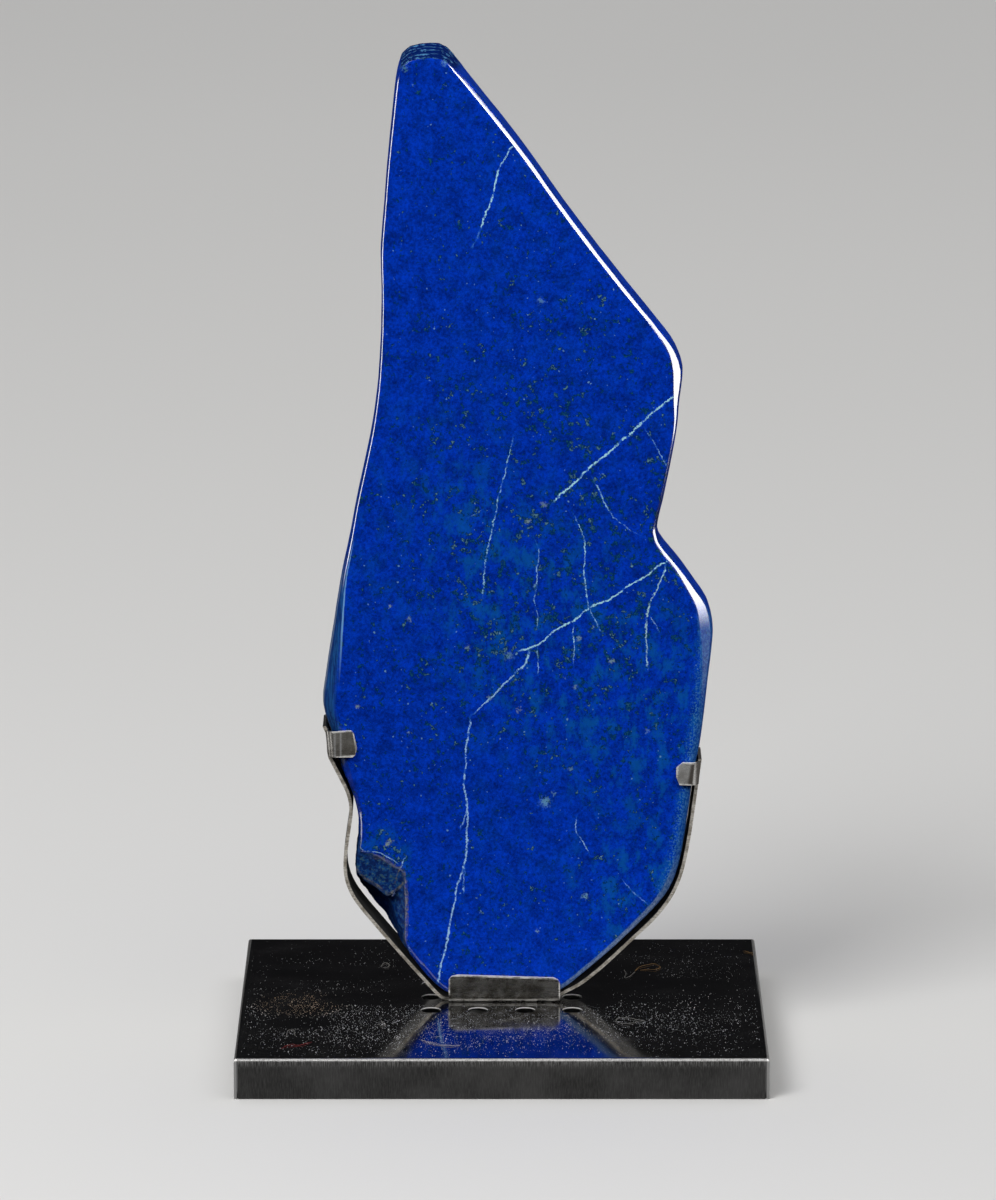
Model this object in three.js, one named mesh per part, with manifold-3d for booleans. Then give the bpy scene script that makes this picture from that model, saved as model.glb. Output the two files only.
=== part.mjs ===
// A polished free-form slab of lapis lazuli, standing in a bent steel cradle on a folded steel base.
// Millimetres. +X runs along the base's long side, +Y from its front to its back, and +Z is up.
// The origin is the centre of the base's underside.

import Module from 'manifold-3d';
import * as THREE from 'three';
import { mergeVertices } from 'three/addons/utils/BufferGeometryUtils.js';

const wasm = await Module();
wasm.setup();

// ---- driving dimensions ----

const BASE = { width: 160, depth: 132, height: 12.6, sheet: 0.8, fold: 1.2, seam: 0.4 };
const HOLES = { diameter: 6.2, pitch: 14.4, columns: 4, rows: 3, sides: 24 };

// The stone and its cradle share one middle plane, a little behind the middle of the base.
const MIDDLE_Y = 3.8;
const STONE = { thickness: 18.4, crown: 0.25, samples: 220, edgeSteps: 3 };
const TIP = { slope: 0.1, from: 297, to: 304 }; // the top of the tip rises towards the back
const FIT_GAP = 0.3;
const STRIP = { thickness: 1.0, samples: 50 };
const CLIP_BEND = 3.0; // outer radius of the fold between the strip and a side tab
const LIP_BEND = 1.9;
const ARC_STEPS = 6;

const STONE_FRONT = -STONE.thickness / 2;
const TAB_FACE = STONE.thickness / 2 + FIT_GAP + STRIP.thickness; // from the middle plane
const STRIP_WIDTH = 2 * (TAB_FACE - CLIP_BEND);

// ---- outlines ----

// Widest contour of the stone as [x, z, width of its rounded edge], clockwise from the left of the tip.
const STONE_OUTLINE = [
  [-31.2, 300.3, 0.8], [-30.6, 302.2, 0.6], [-29.4, 304.0, 0.5], [-27.2, 305.4, 0.5], // tip
  [-24.3, 306.0, 0.5], [-21.3, 306.2, 0.5], [-18.3, 306.0, 0.5], [-16.2, 305.1, 0.7],
  [-14.6, 303.4, 1.0], [-12.0, 300.4, 1.3], [4.9, 279.1, 1.3], [20.5, 257.2, 1.2], // long slope
  [35.6, 237.4, 1.3], [46.8, 223.5, 1.7], [52.4, 215.9, 2.4], [54.7, 209.6, 3.2],
  [54.4, 204.6, 2.8], [53.7, 199.6, 2.0], [53.2, 192.6, 1.3], [51.2, 180.8, 1.2], // right shoulder
  [49.2, 170.7, 1.2], [47.4, 162.5, 1.4], [47.2, 158.6, 1.6], [49.0, 155.4, 1.6], // right notch
  [53.5, 149.9, 1.8], [58.6, 142.9, 2.6], [62.6, 136.9, 3.6], [64.3, 129.0, 4.2],
  [63.9, 122.0, 3.2], [62.9, 113.4, 2.2], [61.6, 101.1, 2.0], [60.4, 92.2, 2.0], // right lobe
  [59.4, 88.0, 2.0], [58.4, 81.5, 2.0], [57.5, 74.5, 1.9], [56.4, 66.4, 2.0], // behind the right clip
  [54.7, 56.4, 2.1], [53.3, 51.5, 2.3], [51.1, 46.8, 2.4], [48.6, 43.4, 2.2],
  [41.2, 35.6, 2.0], [33.3, 27.9, 1.9], [25.0, 20.6, 1.9], [19.5, 16.2, 1.9], // lower right
  [15.6, 14.3, 1.8], [13.0, 13.95, 1.8], [4.0, 13.95, 1.8], [-5.0, 13.95, 1.8], [-14.0, 13.95, 1.8], // foot
  [-17.0, 14.6, 1.8], [-19.0, 16.0, 1.8], [-21.5, 18.3, 1.9], [-24.2, 21.3, 2.0], [-29.2, 27.7, 2.2],
  [-36.6, 37.0, 2.0], [-41.2, 43.2, 2.0], [-43.6, 47.2, 1.8], [-44.8, 51.0, 1.8], // lower left
  [-45.0, 55.5, 1.8], [-44.6, 59.8, 1.8], [-44.1, 64.0, 1.6], [-43.8, 67.8, 1.6], [-44.2, 72.1, 1.6],
  [-45.0, 75.6, 1.6], [-45.9, 78.6, 1.8], [-47.5, 82.2, 2.2], [-50.0, 88.2, 3.6], // behind the left clip
  [-51.2, 92.5, 4.2], [-52.1, 97.0, 4.5], [-53.5, 100.8, 4.6], [-54.4, 104.0, 4.7], [-54.6, 106.8, 4.7],
  [-54.2, 109.9, 4.5], [-52.4, 122.4, 3.6],
  [-50.8, 132.0, 2.5], [-48.7, 145.2, 1.3], [-46.1, 157.3, 0.8], [-44.1, 168.2, 0.6], // left flare
  [-41.6, 179.9, 0.6], [-39.5, 189.8, 0.6], [-37.6, 202.9, 0.6], [-36.7, 214.5, 0.6],
  [-36.2, 230.0, 0.6], [-36.4, 245.6, 0.6], [-35.4, 258.5, 0.6], [-34.5, 270.0, 0.6],
  [-32.9, 286.3, 0.8], [-31.9, 296.0, 0.9],
];

// The broken corner at the lower left, as [x, z, depth behind the front face] of the broken surface.
// First the ledge, which starts at a crack across the front face and slopes away below it.
const LEDGE = {
  points: [
    [-48.0, 65.2, 0], [-41.1, 60.5, 0], [-38.3, 60.1, 0], [-34.7, 58.5, 0], [-31.0, 56.0, 0], // crack
    [-29.6, 52.4, 0.7], [-29.8, 49.6, 1.6], [-35.0, 44.3, 3.7], [-54.0, 52.0, 4.4],
  ],
  faces: [[8, 0, 1], [8, 1, 2], [8, 2, 3], [8, 3, 4], [8, 4, 5], [8, 5, 6], [8, 6, 7]],
};
// Then the deep hollow below the ledge. Points 0 to 4 run along the ledge's lower edge and 6 to 9 along
// a worn ridge beside the front face.
const HOLLOW = {
  points: [
    [-51.0, 58.5, 5.9], [-44.7, 52.8, 5.9], [-41.8, 49.6, 5.9], [-38.7, 47.7, 6.6], [-35.0, 44.3, 7.4],
    [-32.9, 46.2, 4.9], [-29.9, 49.8, 0.6], [-28.9, 42.0, -0.2], [-29.3, 31.0, -0.2], [-25.0, 23.5, -0.2],
    [-30.0, 19.0, 8.4], [-34.5, 35.6, 13.6], [-40.0, 31.0, 15.0], [-41.0, 43.9, 14.2], [-53.0, 42.0, 15.0],
  ],
  faces: [
    [0, 1, 14], [1, 13, 14], [1, 2, 13], [2, 3, 13], [3, 4, 13], [4, 11, 13], [13, 11, 12], [13, 12, 14],
    [5, 6, 7], [5, 7, 8], [4, 5, 8], [4, 8, 11], [8, 9, 10], [8, 10, 11], [11, 10, 12],
  ],
};
const CUTTER_REACH = 8; // the cutting solids start this far in front of the stone

// Outer face of the cradle's strip as [x, z]: down from the left clip, and up to the right clip.
const STRIP_LEFT = [
  [-54.4, 99.0], [-53.5, 96.9], [-52.9, 89.8], [-51.7, 87.2], [-49.3, 82.4], [-47.5, 78.6], [-46.6, 75.2],
  [-46.4, 71.8], [-46.9, 67.9], [-47.9, 60.8], [-48.3, 56.8], [-48.2, 52.8], [-47.3, 48.9], [-45.6, 45.2],
  [-43.3, 41.8], [-38.3, 35.6], [-30.6, 26.4], [-22.7, 17.3], [-20.2, 14.5], [-18.4, 13.0],
  [-16.6, BASE.height],
];
const STRIP_RIGHT = [
  [15.2, BASE.height], [17.2, 13.3], [19.4, 14.7], [24.0, 17.2], [29.6, 21.6], [40.1, 31.6], [47.9, 39.4],
  [52.3, 45.6], [55.2, 52.5], [57.5, 63.3], [59.5, 77.9], [60.9, 88.8],
];

// Each tab grows from an edge of the strip and folds over the stone's face. root is [x, z] on the
// strip's outer face, angle the direction of its reach, and corners its outline as [reach, along],
// where along turns a quarter anticlockwise from reach.
const TABS = {
  leftClip: {
    root: [-53.3, 94.5], angle: 5, bend: CLIP_BEND,
    corners: [[-0.5, -4.3], [7.6, -5.0], [8.5, -4.3], [9.2, -2.2], [8.6, 2.3], [7.9, 3.3], [-0.5, 3.6]],
  },
  rightClip: {
    root: [60.35, 84.9], angle: 175, bend: CLIP_BEND,
    corners: [[-0.5, -3.5], [5.6, -3.1], [7.4, -1.3], [7.1, 1.6], [5.9, 3.9], [-0.5, 3.6]],
  },
  lip: {
    root: [0, BASE.height], angle: 90, bend: LIP_BEND,
    corners: [
      [-0.5, -17.9], [6.0, -17.9], [7.2, -17.3], [7.9, -15.9],
      [8.8, 13.4], [8.3, 15.4], [7.3, 16.2], [-0.5, 16.2],
    ],
  },
};

// ---- helpers ----

const AXIS = { x: new THREE.Vector3(1, 0, 0), y: new THREE.Vector3(0, 1, 0), z: new THREE.Vector3(0, 0, 1) };

function solidFrom(geometry) {
  const bare = geometry.clone();
  bare.deleteAttribute('normal');
  bare.deleteAttribute('uv');
  const merged = mergeVertices(bare, 1e-4);
  return new wasm.Manifold(new wasm.Mesh({
    numProp: 3,
    vertProperties: new Float32Array(merged.attributes.position.array),
    triVerts: new Uint32Array(merged.index.array),
  }));
}

function geometryFrom(positions, indices) {
  const geometry = new THREE.BufferGeometry();
  geometry.setAttribute('position', new THREE.Float32BufferAttribute(positions, 3));
  geometry.setIndex(indices);
  return geometry;
}

function meshFrom(solid, name, material) {
  const { vertProperties, triVerts } = solid.getMesh();
  const geometry = geometryFrom(Array.from(vertProperties), Array.from(triVerts));
  geometry.computeVertexNormals();
  const mesh = new THREE.Mesh(geometry, material);
  mesh.name = name;
  return mesh;
}

// A prism of a flat outline whose coordinates run along u and v, centred on centre along u x v.
function prism(outline, length, centre, u, v) {
  const shape = new THREE.Shape(outline.map(([a, b]) => new THREE.Vector2(a, b)));
  const geometry = new THREE.ExtrudeGeometry(shape, { depth: length, bevelEnabled: false });
  const along = new THREE.Vector3().crossVectors(u, v);
  geometry.translate(0, 0, -length / 2);
  geometry.applyMatrix4(new THREE.Matrix4().makeBasis(u, v, along).setPosition(centre));
  return solidFrom(geometry);
}

function box(low, high) {
  const size = high.map((value, axis) => value - low[axis]);
  const centre = high.map((value, axis) => (value + low[axis]) / 2);
  return solidFrom(new THREE.BoxGeometry(...size).translate(...centre));
}

function arc(centre, radius, fromDegrees, toDegrees, steps = ARC_STEPS) {
  return Array.from({ length: steps + 1 }, (_, k) => {
    const angle = THREE.MathUtils.degToRad(fromDegrees + (toDegrees - fromDegrees) * k / steps);
    return [centre[0] + radius * Math.cos(angle), centre[1] + radius * Math.sin(angle)];
  });
}

function spline(points, samples, closed = false) {
  const controls = points.map(([x, z, extra = 0]) => new THREE.Vector3(x, z, extra));
  const curve = new THREE.CatmullRomCurve3(controls, closed, 'centripetal');
  const sampled = curve.getSpacedPoints(samples);
  return closed ? sampled.slice(0, -1) : sampled;
}

function signedArea(a, b, c) {
  return (b[0] - a[0]) * (c[1] - a[1]) - (b[1] - a[1]) * (c[0] - a[0]);
}

// Everything in front of a broken surface, which is given as points [x, z, depth] and triangles.
function frontOf({ points, faces }) {
  const count = points.length;
  const behind = points.flatMap(([x, z, depth]) => [x, STONE_FRONT + depth, z]);
  const ahead = points.flatMap(([x, z]) => [x, STONE_FRONT - CUTTER_REACH, z]);
  const turned = faces.map((f) => (signedArea(...f.map((i) => points[i])) > 0 ? f : [...f].reverse()));
  const edges = turned.flatMap(([a, b, c]) => [[a, b], [b, c], [c, a]]);
  const shared = new Set(edges.map(([a, b]) => `${b},${a}`));
  const rim = edges.filter(([a, b]) => !shared.has(`${a},${b}`));
  const indices = turned.flatMap(([a, b, c]) => [a + count, b + count, c + count, c, b, a]);
  rim.forEach(([a, b]) => indices.push(a + count, a, b, a + count, b, b + count));
  return solidFrom(geometryFrom([...behind, ...ahead], indices));
}

// ---- stone ----

// Rings of the stone's cross-section from front to back: how far each lies inside the outline,
// for a rounded edge of unit width and for the crown, and its depth y.
function stoneRings() {
  const front = Array.from({ length: STONE.edgeSteps + 1 }, (_, k) => {
    const angle = k / STONE.edgeSteps * Math.PI / 2;
    return { inset: 1 - Math.sin(angle), sink: 1 - Math.cos(angle), side: -1 };
  });
  const back = front.map((ring) => ({ ...ring, side: 1 })).reverse();
  return [...front, { inset: 0, sink: 0, side: 0 }, ...back];
}

function edgeDepth(edgeWidth) {
  return 1.2 + 0.9 * edgeWidth;
}

function stoneLoft() {
  const contour = spline(STONE_OUTLINE, STONE.samples, true);
  const count = contour.length;
  const half = STONE.thickness / 2;
  const rings = stoneRings();
  const positions = [];
  for (const { inset, sink, side } of rings) {
    contour.forEach((point, i) => {
      const tangent = contour[(i + 1) % count].clone().sub(contour[(i + count - 1) % count]);
      const normal = new THREE.Vector2(-tangent.y, tangent.x).normalize(); // outwards
      const edge = point.z;
      const inward = side === 0 ? 0 : inset * edge + STONE.crown;
      const y = side * (half - sink * edgeDepth(edge));
      const z = point.y - inward * normal.y;
      const lift = TIP.slope * y * THREE.MathUtils.smoothstep(z, TIP.from, TIP.to);
      positions.push(point.x - inward * normal.x, y, z + lift);
    });
  }
  const indices = [];
  for (let ring = 0; ring < rings.length - 1; ring += 1) {
    for (let i = 0; i < count; i += 1) {
      const a = ring * count + i;
      const b = ring * count + (i + 1) % count;
      indices.push(a, b, b + count, a, b + count, a + count);
    }
  }
  const corner = (i) => [positions[3 * i], positions[3 * i + 2]];
  for (const start of [0, (rings.length - 1) * count]) {
    const flat = contour.map((_, i) => new THREE.Vector2(...corner(start + i)));
    for (const face of THREE.ShapeUtils.triangulateShape(flat, [])) {
      const cap = face.map((i) => start + i);
      const facesFront = signedArea(...cap.map(corner)) > 0;
      indices.push(...(facesFront === (start === 0) ? cap : cap.reverse()));
    }
  }
  return solidFrom(geometryFrom(positions, indices));
}

function makeStone(material) {
  const solid = stoneLoft().subtract(frontOf(LEDGE)).subtract(frontOf(HOLLOW));
  return meshFrom(solid, 'lapis_slab', material);
}

// ---- cradle ----

function strip() {
  const outer = [...spline(STRIP_LEFT, STRIP.samples), ...spline(STRIP_RIGHT, STRIP.samples)];
  const inner = outer.map((point, i) => {
    const tangent = outer[Math.min(i + 1, outer.length - 1)].clone().sub(outer[Math.max(i - 1, 0)]);
    const normal = new THREE.Vector2(-tangent.y, tangent.x).normalize();
    return [point.x + STRIP.thickness * normal.x, point.y + STRIP.thickness * normal.y];
  });
  const outline = [...outer.map((point) => [point.x, point.y]), ...inner.reverse()];
  return prism(outline, STRIP_WIDTH, new THREE.Vector3(), AXIS.x, AXIS.z);
}

// side is -1 for a tab over the stone's front and 1 for one over its back.
function tab({ root, angle, bend, corners }, side) {
  const turn = THREE.MathUtils.degToRad(angle);
  const reach = new THREE.Vector3(Math.cos(turn), 0, Math.sin(turn));
  const along = new THREE.Vector3(-Math.sin(turn), 0, Math.cos(turn));
  const outwards = AXIS.y.clone().multiplyScalar(side);
  const centre = new THREE.Vector3(root[0], 0, root[1]);
  const longest = 2 * Math.max(...corners.flat().map(Math.abs)) + 2;
  const bendStart = TAB_FACE - bend;
  const webStart = STRIP_WIDTH / 2 - 2 * STRIP.thickness;
  const profile = [
    [0, webStart],
    ...arc([bend, bendStart], bend, 180, 90),
    [longest, TAB_FACE],
    [longest, TAB_FACE - STRIP.thickness],
    ...arc([bend, bendStart], bend - STRIP.thickness, 90, 180),
    [STRIP.thickness, webStart],
  ];
  const folded = prism(profile, longest, centre, reach, outwards);
  return folded.intersect(prism(corners, 4 * TAB_FACE, centre, reach, along));
}

function makeCradle(material) {
  let solid = strip();
  for (const shape of Object.values(TABS)) {
    for (const side of [-1, 1]) {
      solid = solid.add(tab(shape, side));
    }
  }
  return meshFrom(solid, 'cradle', material);
}

// ---- base ----

// Section of the folded tray: flat below, with a rounded fold along each upper edge.
function foldedSection(width) {
  const { height, fold } = BASE;
  const half = width / 2;
  return [
    [-half, 0],
    [half, 0],
    ...arc([half - fold, height - fold], fold, 0, 90),
    ...arc([fold - half, height - fold], fold, 90, 180),
  ];
}

function mountingHole(column, row) {
  const { diameter, pitch, columns, rows, sides } = HOLES;
  const length = 4 * BASE.sheet;
  const geometry = new THREE.CylinderGeometry(diameter / 2, diameter / 2, length, sides);
  const x = (column - (columns - 1) / 2) * pitch;
  const y = (row - (rows - 1) / 2) * pitch;
  return solidFrom(geometry.rotateX(Math.PI / 2).translate(x, y, BASE.height - BASE.sheet / 2));
}

// The open seam beside each vertical corner, between a long flange and the end flange that covers its edge.
function cornerSeam(sideX, sideY) {
  const { width, depth, height, sheet, fold, seam } = BASE;
  const outerX = width / 2 - sheet;
  const xs = [sideX * outerX, sideX * (outerX - seam)].sort((a, b) => a - b);
  const ys = [sideY * (depth / 2 + sheet), sideY * (depth / 2 - 1.5 * sheet)].sort((a, b) => a - b);
  return box([xs[0], ys[0], -sheet], [xs[1], ys[1], height - fold]);
}

function makeBase(material) {
  const { width, depth, height, sheet } = BASE;
  const alongY = prism(foldedSection(width), depth, new THREE.Vector3(), AXIS.x, AXIS.z);
  const alongX = prism(foldedSection(depth), width, new THREE.Vector3(), AXIS.y, AXIS.z);
  const inner = [width / 2 - sheet, depth / 2 - sheet, height - sheet];
  let solid = alongY.intersect(alongX).subtract(box([-inner[0], -inner[1], -sheet], inner));
  for (const sideX of [-1, 1]) {
    for (const sideY of [-1, 1]) {
      solid = solid.subtract(cornerSeam(sideX, sideY));
    }
  }
  for (let column = 0; column < HOLES.columns; column += 1) {
    for (let row = 0; row < HOLES.rows; row += 1) {
      solid = solid.subtract(mountingHole(column, row));
    }
  }
  return meshFrom(solid, 'base', material);
}

// ---- assembly ----

const lapis = new THREE.MeshStandardMaterial({ color: 0x0a2f9e, roughness: 0.18, metalness: 0 });
const cradleSteel = new THREE.MeshStandardMaterial({ color: 0x9a9a96, roughness: 0.32, metalness: 1 });
const baseSteel = new THREE.MeshStandardMaterial({ color: 0x6f7072, roughness: 0.22, metalness: 1 });

const group = new THREE.Group();
const specimen = new THREE.Group();
specimen.position.y = MIDDLE_Y;
specimen.add(makeStone(lapis), makeCradle(cradleSteel));
group.add(makeBase(baseSteel), specimen);

export default group;
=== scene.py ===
# A polished slab of lapis lazuli in its bent steel cradle, on a folded steel base.
# Sizes are millimetres unless a name says otherwise, and MM turns them into metres.
# +X runs to the right, +Y from the front to the back, and +Z is up.

import itertools
import math

import bpy
import numpy as np
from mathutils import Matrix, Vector, kdtree


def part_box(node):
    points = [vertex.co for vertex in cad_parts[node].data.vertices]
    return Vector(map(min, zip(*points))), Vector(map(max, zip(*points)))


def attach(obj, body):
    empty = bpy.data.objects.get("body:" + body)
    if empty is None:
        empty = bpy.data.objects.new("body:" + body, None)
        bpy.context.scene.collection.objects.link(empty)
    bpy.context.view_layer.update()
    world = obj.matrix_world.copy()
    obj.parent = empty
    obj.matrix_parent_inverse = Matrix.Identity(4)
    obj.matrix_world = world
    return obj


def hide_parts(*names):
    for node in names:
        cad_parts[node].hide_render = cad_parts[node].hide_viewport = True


MM = 0.001

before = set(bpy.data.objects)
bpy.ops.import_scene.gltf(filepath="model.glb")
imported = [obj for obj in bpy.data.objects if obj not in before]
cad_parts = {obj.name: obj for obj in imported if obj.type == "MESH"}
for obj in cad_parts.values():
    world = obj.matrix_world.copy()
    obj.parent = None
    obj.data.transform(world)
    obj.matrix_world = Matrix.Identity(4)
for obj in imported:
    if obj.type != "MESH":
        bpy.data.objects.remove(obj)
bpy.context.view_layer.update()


def node_box(node):
    """A node's lowest and highest corner in millimetres."""
    low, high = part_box(node)
    return np.array(low) / MM, np.array(high) / MM


STONE_LOW, STONE_HIGH = node_box("lapis_slab")
FRONT_Y, BACK_Y = STONE_LOW[1], STONE_HIGH[1]
BASE_HIGH = node_box("base")[1]
TOP_Z = BASE_HIGH[2]

# ---- camera ----

CAMERA_PLACE = (-1.1, -2147.9, 637.6)
CAMERA_PITCH = 13.1  # degrees below the horizon
CAMERA_LENS = 218.1  # focal length
CAMERA_RANGE_M = (0.05, 40)

# ---- stone ----

VOXEL = 0.4
SMOOTHING_ROUNDS = 8
STONE_TRIANGLES = 190_000
BEVEL_SLOPE = 0.84  # how steeply the bevelled rims fall away from the polished faces
BEVEL_LEAST = 0.9  # the narrowest bevel
SLOPE_BEVEL_EXTRA = 0.85  # how much wider than that the long slope's bevel is at least
TIP_FROM = 299.5  # the sawn top of the stone starts here
SAW_PITCH = 3.7
# Where the polished stone turns into the broken corner: to the left, above its foot and below its head.
BROKEN_SIDE = (-27.6, -29.6)
BROKEN_FOOT = (23.0, 27.0)
BROKEN_HEAD = (66.0, 62.5)

# Pale veins: half width, brightness, and the line of the vein as (x, z) on the front face.
VEINS = [
    (0.27, 0.88, [(4.6, 280.0), (1.9, 275.6), (-0.5, 271.7), (-1.7, 268.4), (-2.6, 263.5), (-3.8, 259.6),
                  (-5.0, 257.5), (-6.2, 252.0)]),
    (0.42, 0.4, [(-6.0, 253.0), (-9.2, 247.2)]),
    (0.36, 1.0, [(53.6, 202.4), (48.2, 199.2), (43.4, 194.9), (39.2, 191.2), (32.9, 185.4), (27.2, 180.5),
                  (22.4, 175.9), (18.2, 172.2), (14.6, 168.1)]),
    (0.22, 0.62, [(3.7, 190.3), (2.5, 185.7), (1.3, 179.9), (-0.2, 173.4), (-1.4, 167.5), (-2.9, 161.0),
                  (-4.4, 154.2), (-5.3, 146.2), (-5.9, 138.4)]),
    (0.17, 0.6, [(27.2, 177.7), (28.1, 175.5), (31.2, 169.4), (34.2, 164.7), (38.4, 161.0), (45.4, 157.6)]),
    (0.17, 0.6, [(42.6, 193.0), (47.4, 185.1), (50.6, 179.0)]),
    (0.2, 0.72, [(20.9, 166.9), (23.3, 162.6), (25.2, 157.0), (25.2, 147.1), (25.8, 141.2), (26.4, 136.8),
                  (28.3, 133.1), (31.0, 128.1)]),
    (0.18, 0.6, [(8.6, 158.6), (11.0, 153.6), (11.0, 144.6), (9.8, 139.3), (11.0, 134.1), (10.4, 128.8)]),
    (0.3, 1.0, [(52.0, 151.6), (47.3, 149.3), (44.3, 146.8), (36.7, 142.1), (30.7, 138.4), (25.5, 135.9),
                  (21.3, 132.5), (15.3, 128.8), (11.0, 125.3), (4.3, 123.0)]),
    (0.27, 0.92, [(8.6, 124.6), (6.8, 118.5), (1.9, 114.1), (-3.2, 108.5), (-6.6, 105.4), (-9.8, 102.7)]),
    (0.32, 0.9, [(-9.5, 103.3), (-10.2, 98.2), (-10.8, 91.3), (-11.1, 83.4), (-10.8, 75.2), (-10.4, 71.5),
                  (-10.6, 62.6), (-11.8, 55.4), (-13.6, 48.4), (-14.9, 41.4), (-16.1, 35.1), (-17.9, 27.8),
                  (-18.9, 22.7), (-19.8, 17.4)]),
    (0.2, 0.6, [(-10.4, 74.6), (-11.2, 71.5), (-12.6, 66.6)]),
    (0.2, 0.6, [(-10.7, 61.5), (-11.2, 58.2), (-11.4, 45.5)]),
    (0.26, 0.85, [(49.7, 150.2), (48.2, 144.6), (46.7, 141.2), (44.6, 135.9), (44.0, 131.6), (44.1, 124.4),
                  (44.4, 116.2)]),
    (0.17, 0.72, [(45.0, 133.6), (48.0, 129.0)]),
    (0.18, 0.72, [(21.9, 133.0), (21.9, 117.5)]),
    (0.18, 0.65, [(11.0, 125.6), (11.3, 115.3)]),
    (0.18, 0.75, [(23.5, 72.0), (22.7, 67.4), (24.8, 63.6), (27.2, 59.2)]),
    (0.16, 0.55, [(36.4, 52.0), (45.4, 42.3)]),
    (0.17, 0.5, [(-5.6, 167.2), (-10.4, 164.4)]),
    (0.18, 0.85, [(-45.6, 64.3), (-43.5, 62.3), (-41.1, 60.4), (-38.3, 60.1), (-34.7, 58.5), (-30.6, 55.7)]),
    (0.18, 0.85, [(-29.6, 59.0), (-30.8, 55.0), (-32.1, 51.0)]),
    (0.17, 0.7, [(-30.2, 31.4), (-28.0, 25.6)]),
    (0.16, 0.6, [(-28.4, 31.0), (-27.4, 27.2)]),
]
# The right edge of the front face, from the lobe down, as (x, z).
RIGHT_EDGE = [
    (63.6, 136.0), (63.2, 122.0), (61.6, 104.0), (59.4, 88.0), (57.2, 74.0), (55.0, 59.0), (50.0, 46.0),
]
TAN_VEIN = (46.5, 133.0, 16.0)  # the vein that is yellowish: (x, z) of its middle, and its reach

# Worn, unpolished edges of the broken corner, in the same form.
WORN_EDGES = [
    (0.6, 0.8, [(-30.6, 55.2), (-29.6, 52.1), (-29.2, 48.0), (-29.0, 41.7), (-29.2, 35.3), (-29.8, 29.8)]),
    (0.58, 1.0, [(-47.6, 57.4), (-44.7, 54.2), (-41.8, 51.0), (-38.7, 48.9), (-34.6, 46.0)]),
    (0.55, 1.0, [(-35.4, 45.7), (-32.9, 46.9), (-29.6, 50.4)]),
    (0.24, 0.9, [(-30.4, 56.6), (-31.6, 53.0), (-32.8, 49.0)]),
    (0.8, 0.35, [(-40.5, 58.4), (-37.0, 58.0), (-33.6, 56.0), (-31.4, 52.8)]),
]

# Small pale or tan inclusions: centre (x, z), radius, brightness, and how tan they are.
INCLUSIONS = [
    (11.8, 231.0, 1.6, 0.5, 0.0), (13.2, 75.9, 2.6, 0.75, 0.0), (25.5, 46.2, 1.6, 0.8, 0.2),
    (10.8, 35.1, 1.0, 0.8, 0.4), (21.1, 86.2, 1.1, 0.6, 0.2), (-10.2, 124.1, 1.0, 0.7, 0.5),
    (33.2, 120.0, 1.4, 0.8, 0.6), (23.4, 127.2, 1.2, 0.7, 0.6), (22.3, 111.9, 1.1, 0.6, 0.6),
    (-33.8, 137.2, 0.8, 0.8, 0.7), (-28.0, 133.1, 1.0, 0.7, 0.7), (58.2, 90.0, 1.2, 0.5, 0.1),
    (-43.6, 105.8, 0.9, 0.8, 0.8), (5.2, 104.6, 1.2, 0.6, 0.8), (-3.6, 108.6, 1.3, 0.7, 0.5),
    (8.0, 163.4, 1.1, 0.75, 0.7), (12.8, 168.6, 1.5, 0.6, 0.7), (-6.0, 41.0, 0.8, 0.6, 0.2),
    (16.0, 78.6, 1.0, 0.7, 0.1), (27.8, 130.4, 0.9, 0.7, 0.3), (10.0, 143.2, 0.8, 0.85, 0.1),
    (-35.0, 62.6, 1.2, 1.0, 0.9), (-33.8, 63.8, 0.9, 0.95, 0.9), (53.6, 60.4, 0.8, 0.4, 0.1),
    (-26.4, 296.6, 0.8, 0.45, 0.0), (-17.0, 303.0, 1.6, 0.45, 0.0), (-28.6, 301.6, 1.6, 0.4, 0.0),
    (-28.4, 97.6, 0.9, 0.7, 0.5), (44.2, 98.0, 1.1, 0.4, 0.3), (2.2, 121.8, 2.2, 0.5, 0.1),
]


def value_noise(points, size, seed):
    """Smooth noise from -1 to 1 at each point, with features of this size."""
    scaled = points / size
    cell = np.floor(scaled).astype(np.int64)
    part = scaled - cell
    ease = part * part * (3 - 2 * part)
    total = np.zeros(len(points))
    for corner in itertools.product((0, 1), repeat=3):
        x, y, z = (cell + corner).T
        mixed = (x * 73856093) ^ (y * 19349663) ^ (z * 83492791) ^ (seed * 2654435761)
        mixed = ((mixed ^ (mixed >> 13)) * 1274126177) & 0xFFFFFFFF
        value = ((mixed >> 8) & 0xFFFF) / 32767.5 - 1
        weight = np.prod(np.where(np.array(corner) == 1, ease, 1 - ease), axis=1)
        total += value * weight
    return total


def smooth_step(values, low, high):
    share = np.clip((values - low) / (high - low), 0, 1)
    return share * share * (3 - 2 * share)


def read_edges(mesh):
    edges = np.empty(len(mesh.edges) * 2, np.int64)
    mesh.edges.foreach_get("vertices", edges)
    return edges.reshape(-1, 2)


def read_vectors(mesh, name):
    vectors = np.empty(len(mesh.vertices) * 3)
    mesh.vertices.foreach_get(name, vectors)
    return vectors.reshape(-1, 3)


def read_points(mesh):
    return read_vectors(mesh, "co") / MM


def write_points(mesh, points):
    mesh.vertices.foreach_set("co", (points * MM).ravel())
    mesh.update()


def new_piece(name, points, faces):
    """A new piece from points in millimetres."""
    mesh = bpy.data.meshes.new(name)
    mesh.from_pydata((np.array(points) * MM).tolist(), [], faces)
    piece = bpy.data.objects.new(name, mesh)
    bpy.context.scene.collection.objects.link(piece)
    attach(piece, "root")
    return piece


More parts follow.
